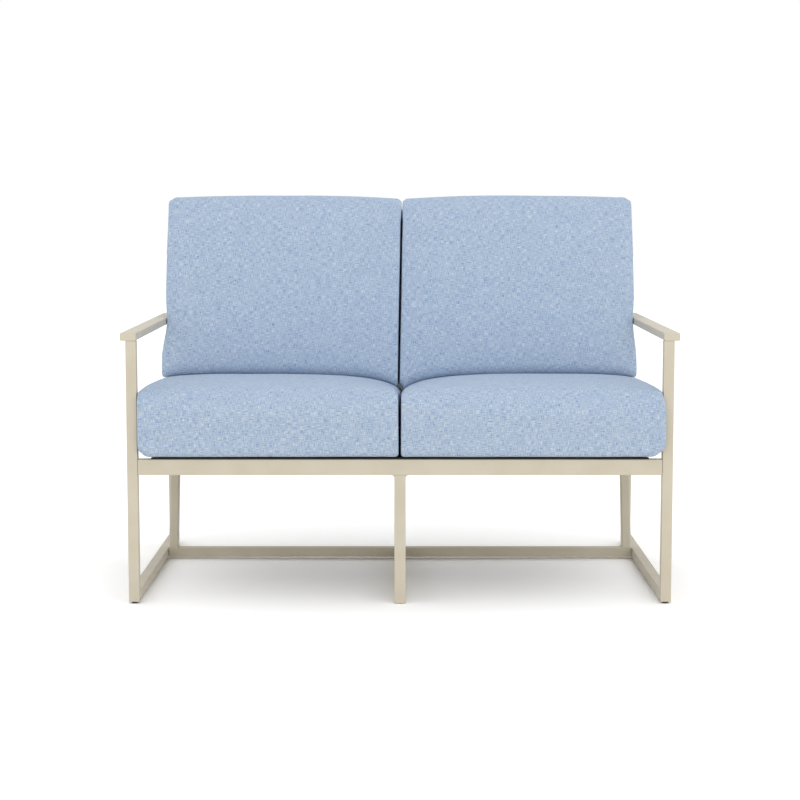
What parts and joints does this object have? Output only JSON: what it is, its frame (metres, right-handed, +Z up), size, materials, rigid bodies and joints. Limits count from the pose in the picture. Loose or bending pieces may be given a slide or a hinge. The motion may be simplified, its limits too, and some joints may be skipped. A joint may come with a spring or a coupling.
{
  "type": "loveseat",
  "caption": "Patio loveseat with a powder-coated aluminium tube frame, flat armrests, a raked slatted back and loose heathered blue cushions",
  "frame": {"origin": "the middle of the footprint, on the floor", "axes": "+X is the right side as seen from the front, +Y points from the front to the back, +Z is up"},
  "size_m": [1.3462, 0.866, 0.99],
  "materials": {
    "frame_coat": "matte champagne powder coat on aluminium tube",
    "cushion_fabric": "heathered blue woven outdoor fabric over a fibre wrap",
    "foam": "open cell cushion foam",
    "zip_tape": "woven zip tape with moulded teeth",
    "mesh_sling": "black coated mesh",
    "black_bar": "black flat bar",
    "black_nylon": "black nylon",
    "steel": "stainless steel"
  },
  "bodies": {
    "frame": {"arm_rivet_nuts": "steel", "armrest_end_plates": "frame_coat", "back_top_rail": "frame_coat", "centre_back_post": "frame_coat", "centre_clamp_bar": "black_bar", "centre_floor_runner": "frame_coat", "centre_glide": "black_nylon", "centre_leg": "frame_coat", "centre_seat_rail": "frame_coat", "clamp_screws": "steel", "frame_bolts": "steel", "frame_weld_beads": "frame_coat", "front_clamp_bar": "black_bar", "front_rail": "frame_coat", "left_armrest": "frame_coat", "left_back_slat_1": "frame_coat", "left_back_slat_2": "frame_coat", "left_back_slat_3": "frame_coat", "left_back_slat_4": "frame_coat", "left_back_upright": "frame_coat", "left_clamp_bar": "black_bar", "left_floor_runner": "frame_coat", "left_front_glide": "black_nylon", "left_front_post": "frame_coat", "left_rear_glide": "black_nylon", "left_rear_post": "frame_coat", "left_seat_rail": "frame_coat", "left_seat_sling": "mesh_sling", "rail_end_plates": "frame_coat", "rear_clamp_bar": "black_bar", "rear_cross_rail": "frame_coat", "rear_seat_rail": "frame_coat", "right_armrest": "frame_coat", "right_back_slat_1": "frame_coat", "right_back_slat_2": "frame_coat", "right_back_slat_3": "frame_coat", "right_back_slat_4": "frame_coat", "right_back_upright": "frame_coat", "right_clamp_bar": "black_bar", "right_floor_runner": "frame_coat", "right_front_glide": "black_nylon", "right_front_post": "frame_coat", "right_rear_glide": "black_nylon", "right_rear_post": "frame_coat", "right_seat_rail": "frame_coat", "right_seat_sling": "mesh_sling", "spacer_washers": "black_nylon", "top_rail_plugs": "black_nylon"},
    "left_seat_cushion": {"left_seat_cushion_cover": "cushion_fabric", "left_seat_cushion_core": "foam", "left_seat_cushion_zip": "zip_tape"},
    "left_back_cushion": {"left_back_cushion_cover": "cushion_fabric", "left_back_cushion_core": "foam", "left_back_cushion_zip": "zip_tape"},
    "right_seat_cushion": {"right_seat_cushion_cover": "cushion_fabric", "right_seat_cushion_core": "foam", "right_seat_cushion_zip": "zip_tape"},
    "right_back_cushion": {"right_back_cushion_cover": "cushion_fabric", "right_back_cushion_core": "foam", "right_back_cushion_zip": "zip_tape"}
  },
  "joints": [
    {"name": "left_seat_cushion_slide", "type": "slide", "parent": "frame", "child": "left_seat_cushion", "axis": [0, -1, 0], "range_m": [0, 0.7]},
    {"name": "right_seat_cushion_slide", "type": "slide", "parent": "frame", "child": "right_seat_cushion", "axis": [0, -1, 0], "range_m": [0, 0.7]},
    {"name": "left_back_cushion_lift", "type": "slide", "parent": "frame", "child": "left_back_cushion", "axis": [0, 0, 1], "range_m": [0, 0.5]},
    {"name": "right_back_cushion_lift", "type": "slide", "parent": "frame", "child": "right_back_cushion", "axis": [0, 0, 1], "range_m": [0, 0.5]}
  ]
}
